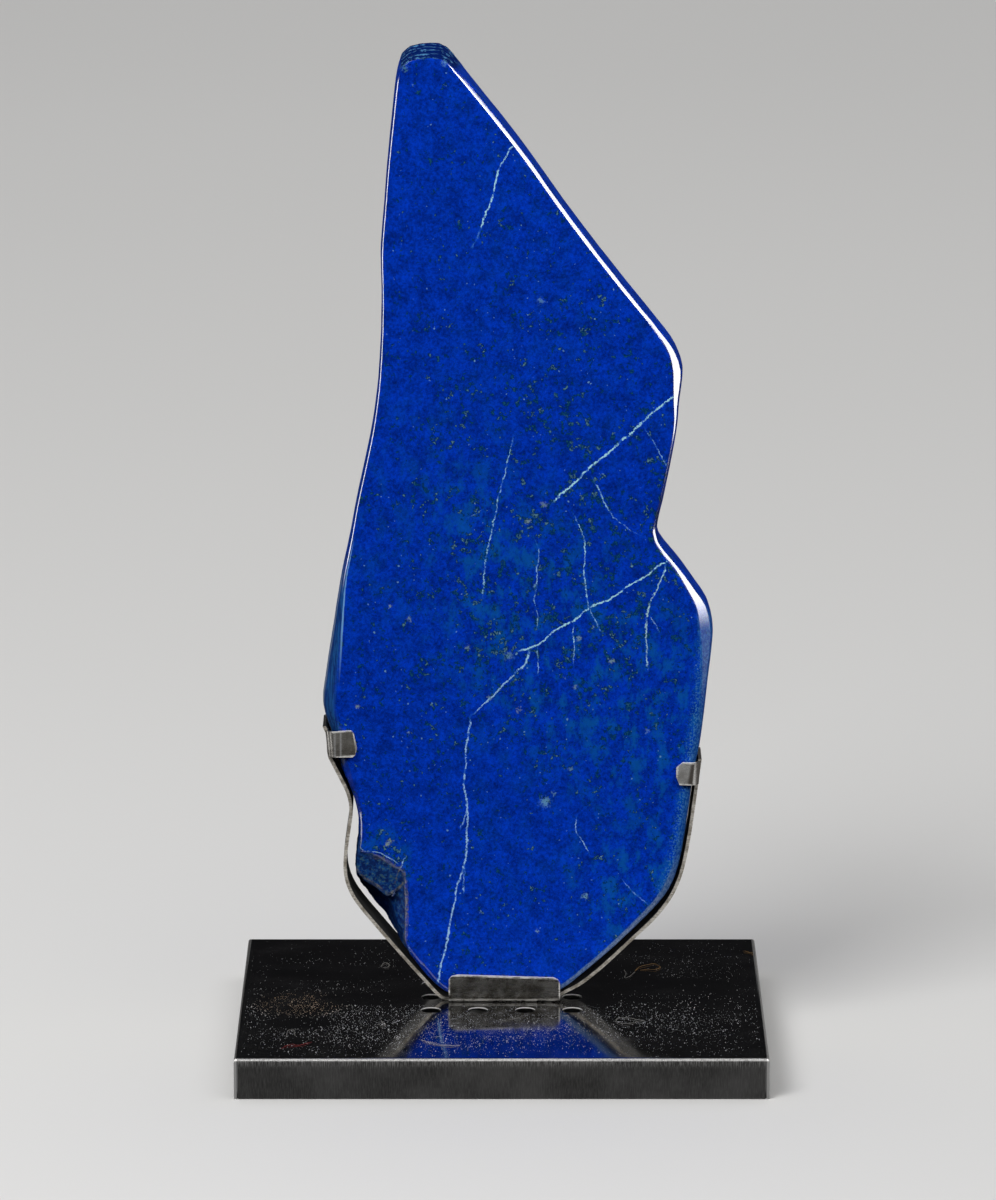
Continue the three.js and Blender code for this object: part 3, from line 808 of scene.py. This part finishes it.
    # Lower down the bevel is frosted, and painted pale as a painted sheen.
    frost_and_sheen = bevel * s.z.step(62.0, 48.0) * s.x.step(10.0, 16.0) * 0.6
    s.paint(frost_and_sheen, s.mix(grain.step(0.4, 0.6), (0.09, 0.21, 0.46), (0.3, 0.42, 0.62)))

    # The sawn top of the tip: navy, with pale wavy lines.
    top = s.z.step(TIP_FROM, TIP_FROM + 2.5) * s.facing_z.step(0.3, 0.7)
    s.paint(top * 0.9, (0.0004, 0.006, 0.05))
    wave = s.noise(s.place * (0.3, 0.25, 0.1), 1.0, detail=4.0, roughness=0.7) * 5.0 + s.y
    lines = (wave * (2 * math.pi / SAW_PITCH)).work("SINE")
    lines = top * lines.step(0.5, 0.98) * s.noise(body, 1.8, detail=4.0).step(0.42, 0.58)
    s.paint(lines * 0.8, (0.06, 0.19, 0.36))

    # The bevels are glossy, except at the tip, low at the left, on the flare and on the right rim.
    dull_corner = s.x.step(-12.0, -18.0) * s.z.step(72.0, 62.0) * 0.92
    dull_left = s.x.step(-30.0, -36.0) * s.z.step(96.0, 88.0) * 0.7
    at_tip = (s.x * -0.26 + s.z).step(305.2, 306.8)
    rough = most(wall * 0.2, fracture * 0.45, top * 0.22, patchy_edges * 0.6, flare * 0.75)
    s.set(
        Base_Color=s.colour,
        Roughness=grain * 0.05 + 0.07 + rough,
        Specular_IOR_Level=0.12,
        IOR=1.5,
        Coat_Weight=bevel * (1 - most(fracture, flare, at_tip, dull_corner, dull_left, right_rim)),
        Coat_Roughness=0.14,
        Coat_IOR=3.6,
    )
    # Long polishing waves, fine pits in the flecks, and ground streaks on the walls.
    height = s.noise(body, 16.0, detail=1.0) * 0.5 - dark * 0.012
    s.bump(height + wall * streaks * 0.06 + flare * upright * 0.1, 0.4)
    return s.material


# The clips and the lip: root (x, z), direction of reach, lean of the end, reach, and the two sides.
TABS = [
    ((-53.3, 94.5), 5, -0.06, 8.9, -4.7, 3.5), ((60.35, 84.9), 175, 0.0, 7.1, -3.3, 3.8),
    ((0.0, 12.6), 90, 0.031, 8.35, -17.9, 16.2),
]
# The brown of the painted shade on the clips.
PAINTED_SHADE_BROWN = (0.13, 0.105, 0.08)


def tab_outline(s, root, angle, lean, reach, low, high):
    """1 along the free edges of a tab: its end at this reach, and its sides at low and high."""
    turn = math.radians(angle)
    cos, sin = math.cos(turn), math.sin(turn)
    x, z = s.x - root[0], s.z - root[1]
    along = z * cos - x * sin
    out = along * -lean + (x * cos + z * sin)
    edge = most(along.step(high - 0.6, high - 0.25), along.step(low + 0.6, low + 0.25),
                out.step(reach - 0.6, reach - 0.25))
    inside = out.step(1.5, 2.5) * out.step(reach + 2.0, reach + 1.0)
    return edge * inside * along.step(low - 2.0, low - 1.0) * along.step(high + 2.0, high + 1.0)


def cradle_material():
    s = Shader("cradle_steel")
    lines = s.brushed((0.06, 1.0, 1.0), 0.22)
    grit = s.noise(s.place, 0.45, detail=4.0, roughness=0.8)
    tarnish = s.noise(s.place, 3.6, detail=6.0, roughness=0.75)
    slant = abs(s.facing_y)
    flat = slant.step(0.5, 0.9)
    from_middle = abs(s.y - (FRONT_Y + BACK_Y) / 2)

    # Painted light and shade: the upper parts are a lit copy of the steel, the right clip wholly and the left
    # one a little at its bend, and the lip and the rest below are a dark, shaded copy.
    upper = s.z.step(40.0, 70.0)
    right_clip = upper * s.x.step(0.0, 40.0)
    lit_share = most(upper * s.x.step(-44.6, -48.4, 0.0, 0.12), right_clip)
    tone = s.noise(s.place, 9.0, detail=2.0) * 0.45 + tarnish * 0.6
    shaded_steel = s.mix(tone.step(0.44, 0.62), (0.165, 0.152, 0.13), (0.5, 0.485, 0.45))
    lit_steel = s.mix(tone.step(0.4, 0.6), (0.64, 0.625, 0.6), (0.96, 0.95, 0.93))
    s.colour = s.mix(lit_share, shaded_steel, lit_steel)
    s.paint(grit.step(0.54, 0.64) * 0.4, (0.64, 0.625, 0.58))
    # Brushed lines, painted stronger on the lit upper parts than on the lip.
    s.paint(lines.step(0.48, 0.66) * s.mix_value(upper, 0.03, 0.3), (0.64, 0.63, 0.605))

    # Painted brown shade over both clips, and two brushed streaks on the left one's bend painted bright as
    # highlights.
    s.paint(upper * s.x.step(-40.0, -44.0) * 0.3, PAINTED_SHADE_BROWN)
    for middle, half in ((-50.7, 0.5), (-48.9, 0.4)):
        bend_highlight = abs(s.x - middle).step(half, 0.3 * half) * lines.step(0.36, 0.56, 0.3, 0.75)
        s.paint(upper * bend_highlight, (0.96, 0.955, 0.945))
    s.paint(right_clip * (s.z * -0.16 + s.x).step(43.0, 44.0) * 0.85, PAINTED_SHADE_BROWN)

    # Cut edges of the clips and the lip are painted bright as highlights, in patches.
    bends = most(s.x.step(-49.0, -50.0), s.x.step(58.6, 59.6), s.z.step(16.0, 14.8))
    tab_edge = slant.step(0.975, 0.9) * from_middle.step(8.85, 9.15) * s.mix_value(bends, 0.95, 0.1)
    patchy_edges = s.noise(s.place, 2.4).step(0.34, 0.58, 0.35, 1.0)
    outlines = most(*(tab_outline(s, *tab) for tab in TABS)) * patchy_edges * from_middle.step(9.9, 10.2)
    lip_line = abs(s.x).step(18.0, 17.0) * s.z.step(13.9, 13.5) * from_middle.step(9.2, 9.5)
    tab_edge = most(tab_edge, outlines, lip_line * patchy_edges * 0.8)
    s.paint(tab_edge, (0.94, 0.92, 0.88))

    # The strip's narrow edges are painted with a warm highlight line between two brown lines of painted
    # shade.
    under_lip = s.z.step(16.0, 14.5) * abs(s.x).step(19.0, 17.0)
    strip_edge = slant.step(0.25, 0.45) * from_middle.step(9.0, 8.4) * s.mix_value(under_lip, 1.0, 0.15)
    edge_highlight = s.mix(tarnish.step(0.4, 0.6), (0.33, 0.295, 0.24), (0.7, 0.66, 0.59))
    s.paint(strip_edge, s.mix(slant.step(0.8, 0.96), (0.09, 0.075, 0.056), edge_highlight))

    # Its inner face, which looks towards the stone, is painted nearly black as painted shade.
    towards = s.facing_x * (5.0 - s.x) + s.facing_z * (100.0 - s.z)
    inner = towards.step(2.0, 9.0) * slant.step(0.6, 0.35) * from_middle.step(9.2, 8.8)
    s.paint(inner, (0.012, 0.011, 0.01))

    # The edges painted with highlights are matt, and so is the inner face.
    matt = most(strip_edge * 0.6, tab_edge * 0.7, inner)
    rough = lines * 0.2 + s.mix_value(flat, 0.1, 0.18)
    s.set(Base_Color=s.colour, Metallic=1 - matt, Roughness=s.mix_value(inner, rough, 0.85))
    beads = s.noise(s.place, 0.7, detail=2.0).step(0.56, 0.68)
    low_right = s.x.step(25.0, 32.0) * s.z.step(52.0, 46.0)
    s.bump(lines * 0.02 + beads * low_right * 0.2 + flat * s.noise(s.place, 5.0) * 0.05, 0.5)
    return s.material


def base_material():
    s = Shader("base_steel")
    top = s.facing_z.step(0.97, 0.999) * s.z.step(TOP_Z - 0.5, TOP_Z - 0.1)

    # Sides: brushed from top to bottom, darker in patches, scratched, and painted brighter along the fold as
    # a highlight.
    lines = s.brushed((1.0, 1.0, 0.09), 0.3)
    patches = s.noise(s.place, 18.0, detail=4.0, roughness=0.6)
    s.colour = s.mix(patches.step(0.35, 0.68), (0.106, 0.104, 0.101), (0.188, 0.185, 0.18))
    s.paint(lines.step(0.4, 0.68) * 0.42, (0.33, 0.325, 0.318))
    below_fold = s.z.step(TOP_Z - 3.6, TOP_Z - 1.1)
    s.paint(below_fold * lines.step(0.46, 0.6) * 0.75, (0.64, 0.63, 0.61))
    # Painted highlight: the fold is brighter.
    fold = s.facing_z.step(0.1, 0.35) * s.facing_z.step(0.97, 0.8)
    s.paint(fold * lines.step(0.38, 0.56, 0.3, 1.0), (0.48, 0.474, 0.464))
    # Painted highlights: the front and back are near white at both ends.
    end = abs(s.x).step(BASE_HIGH[0] - 0.95, BASE_HIGH[0] - 0.75) * abs(s.facing_y).step(0.3, 0.7)
    s.paint(end, (0.9, 0.89, 0.87))
    # The holes' walls are painted black as painted shade, below a matt rim painted pale as its highlight.
    hole = s.facing_z.step(0.85, 0.6) * abs(s.x).step(70.0, 66.0) * abs(s.y).step(58.0, 54.0)
    s.paint(hole, (0.01, 0.01, 0.01))
    rim_highlight = hole * s.z.step(TOP_Z - 0.42, TOP_Z - 0.28)
    s.paint(rim_highlight, (0.94, 0.93, 0.91))
    side_rough = lines * 0.22 + 0.24 + fold * 0.08

    # Top: nearly a mirror, smeared in places.
    flat = s.combine(s.x, s.y, 0.0)
    smears = s.noise(s.place * (0.5, 1.0, 1.0), 12.0, detail=4.0, roughness=0.6)
    top_rough = smears.step(0.38, 0.72, 0.06, 0.15)
    s.paint(top, s.mix(smears.step(0.35, 0.7), (0.29, 0.286, 0.282), (0.36, 0.356, 0.352)))

    # A thin film of dust, thickest at the front left, and wiped away in a few smudges.
    left = flat.away(-60.0, -30.0, 0.0).step(16.0, 66.0, 1.0, 0.25)
    right = flat.away(66.0, -30.0, 0.0).step(10.0, 38.0, 0.7, 0.25)
    amount = most(left, right, s.y.step(-4.0, -24.0, 0.25, 0.6))
    patchy = s.noise(s.place, 11.0, detail=6.0, roughness=0.75).step(0.38, 0.6)
    amount = amount * (patchy * 0.8 + 0.2)
    ragged = s.noise(flat, 6.0) * 0.7
    for x, y, long, wide in SMUDGES:
        inside = (flat * (1 / long, 1 / wide, 1.0)).away(x / long, y / wide, 0.0)
        amount = amount * (inside + ragged).step(1.05, 1.5, 0.12, 1.0)
    long_grain = s.noise(flat * (1.0, 0.4, 1.0), 0.5, roughness=0.7)
    film = amount * long_grain.step(0.5, 0.68) * 0.1 * top
    golden = (flat * (1.0, 1.2, 1.0)).away(-64.0, -8.0, 0.0).step(16.0, 7.0)
    s.paint(film, s.mix(golden, (0.62, 0.59, 0.55), (0.42, 0.26, 0.11)))

    rough = s.mix_value(film, s.mix_value(top, side_rough, top_rough), 0.85)
    s.set(Base_Color=s.colour, Metallic=1 - most(film, rim_highlight * 0.7), Roughness=rough)
    s.bump((1 - top) * lines * 0.035 + film * 0.1, 0.5)
    return s.material


def dust_material():
    s = Shader("dust")
    s.colour = s.mix(s.noise(s.place, 3.0).step(0.4, 0.6), (0.36, 0.365, 0.38), (0.86, 0.88, 0.92))
    # Grains further back are painted dimmer as painted shade, and a patch at the left is golden brown.
    s.paint(s.y.step(-16.0, 14.0, 0.0, 0.6), (0.13, 0.125, 0.118))
    s.paint(s.place.away(-62.0, -8.0, TOP_Z).step(10.0, 18.0, 0.7, 0.0), (0.4, 0.24, 0.1))
    s.set(Base_Color=s.colour, Roughness=0.8, Specular_IOR_Level=0.2)
    return s.material


def fibre_material(name, colour):
    s = Shader("lint_" + name)
    darker = [0.5 * channel for channel in colour]
    s.set(Base_Color=s.mix(s.noise(s.place, 0.9), darker, colour), Roughness=0.8, Specular_IOR_Level=0.2)
    return s.material


def floor_material():
    s = Shader("pale_floor")
    shade = s.noise(s.place, 900.0, detail=1.0)
    s.set(Base_Color=s.mix(shade, (0.66, 0.655, 0.645), (0.7, 0.695, 0.685)), Roughness=0.9,
          Specular_IOR_Level=0.1)
    return s.material


def backdrop_material():
    s = Shader("pale_backdrop")
    s.put(s.output.inputs["Surface"], s.result("Emission", {"Color": (0.56, 0.555, 0.545)}))
    return s.material


# ---- stage ----

STAGE_RADIUS_M = 9.0
AIM_M = Vector((0, 0, 0.14))
LIT = {name: bpy.data.collections.new("lit_" + name) for name in ("all", "object", "stone", "steel", "floor")}


def dress(piece, material):
    """Gives a piece its one material."""
    piece.data.materials.clear()
    piece.data.materials.append(material)
    return piece


def make_stage():
    """A pale floor and backdrop. Neither shows in reflections, so the stone and steel keep their depth."""
    bpy.ops.mesh.primitive_circle_add(vertices=96, radius=STAGE_RADIUS_M, fill_type="NGON")
    floor = bpy.context.active_object
    floor.name = "floor"
    bpy.ops.mesh.primitive_uv_sphere_add(segments=64, ring_count=32, radius=STAGE_RADIUS_M * 0.98)
    backdrop = bpy.context.active_object
    backdrop.name = "backdrop"
    for stage, material in ((floor, floor_material()), (backdrop, backdrop_material())):
        dress(stage, material)
        stage.visible_shadow = False
        stage.visible_diffuse = False
        stage.visible_glossy = False
    return floor


def softbox(name, lit, azimuth, elevation, distance, width, height, radiance, diffuse=True, glossy=True):
    """An area light that faces the object. Azimuth 0 is in front, 90 at the right. Sizes are in metres."""
    data = bpy.data.lights.new(name, "AREA")
    data.shape = "RECTANGLE"
    data.size, data.size_y = width, height
    data.energy = radiance * math.pi * width * height
    light = bpy.data.objects.new(name, data)
    bpy.context.scene.collection.objects.link(light)
    turn, rise = math.radians(azimuth), math.radians(elevation)
    towards = Vector((math.sin(turn) * math.cos(rise), -math.cos(turn) * math.cos(rise), math.sin(rise)))
    light.location = AIM_M + towards * distance
    light.rotation_euler = towards.to_track_quat("Z", "Y").to_euler()
    light.visible_camera = False
    light.visible_diffuse = diffuse
    light.visible_glossy = glossy
    light.light_linking.receiver_collection = LIT[lit]


def make_lights():
    world = bpy.data.worlds.new("studio")
    bpy.context.scene.world = world
    world.use_nodes = True
    world.node_tree.nodes["Background"].inputs["Color"].default_value = (0.011, 0.011, 0.012, 1)
    softbox("key", "all", -38, 42, 2.2, 1.1, 0.9, 9.6)
    softbox("fill", "object", 46, 34, 2.4, 1.0, 1.0, 7.8)
    softbox("overhead", "object", 0, 88, 2.0, 1.2, 0.9, 5.4, glossy=False)
    softbox("back_left", "object", -142, 40, 2.4, 1.1, 0.9, 8.0, glossy=False)
    softbox("back_right", "object", 134, 36, 2.4, 1.0, 1.0, 7.0, glossy=False)
    softbox("floor_wash", "floor", 0, 89, 7.0, 16.0, 16.0, 1.05)
    # Reflection cards. The polished bevels of the stone mirror the first ones, and the steel the others.
    softbox("card_left", "stone", -84, -7, 2.0, 1.3, 1.2, 3.2, diffuse=False)
    softbox("card_right", "stone", 84, 8, 2.0, 1.4, 2.0, 3.4, diffuse=False)
    softbox("card_high_right", "steel", 105, 55, 2.0, 1.2, 1.0, 9.0, diffuse=False)
    softbox("card_fold", "steel", 0, 62, 2.0, 2.6, 1.0, 0.75, diffuse=False)
    for azimuth in (0, 90, 180, 270):
        softbox(f"card_low_{azimuth}", "steel", azimuth, -13, 2.2, 3.6, 1.4, 0.2, diffuse=False)
    for azimuth in (-62, -104):
        softbox(f"card_streak_{azimuth % 360}", "steel", azimuth, -8, 2.0, 0.24, 1.2, 1.8, diffuse=False)


def make_camera():
    data = bpy.data.cameras.new("camera")
    data.lens = CAMERA_LENS
    data.clip_start, data.clip_end = CAMERA_RANGE_M
    camera = bpy.data.objects.new("camera", data)
    bpy.context.scene.collection.objects.link(camera)
    camera.location = Vector(CAMERA_PLACE) * MM
    camera.rotation_euler = (math.radians(90 - CAMERA_PITCH), 0, 0)
    bpy.context.scene.camera = camera


# ---- assembly ----

make_camera()
floor = make_stage()
make_lights()

stone = dress(make_stone(), lapis_material())
cradle = dress(make_steel("cradle", "steel_cradle", CRADLE_ROUNDING), cradle_material())
base = dress(make_steel("base", "steel_base", BASE_ROUNDING), base_material())
lint = make_lint()
for fibre_name, fibre_colour in FIBRE_COLOURS.items():
    lint.data.materials.append(fibre_material(fibre_name, fibre_colour))
dust = dress(make_dust(), dust_material())

for lit, members in (
    ("all", (stone, cradle, base, lint, dust, floor)),
    ("object", (stone, cradle, base, lint, dust)),
    ("stone", (stone,)),
    ("steel", (cradle, base)),
    ("floor", (floor,)),
):
    for member in members:
        LIT[lit].objects.link(member)

bpy.context.scene.view_settings.view_transform = "Standard"
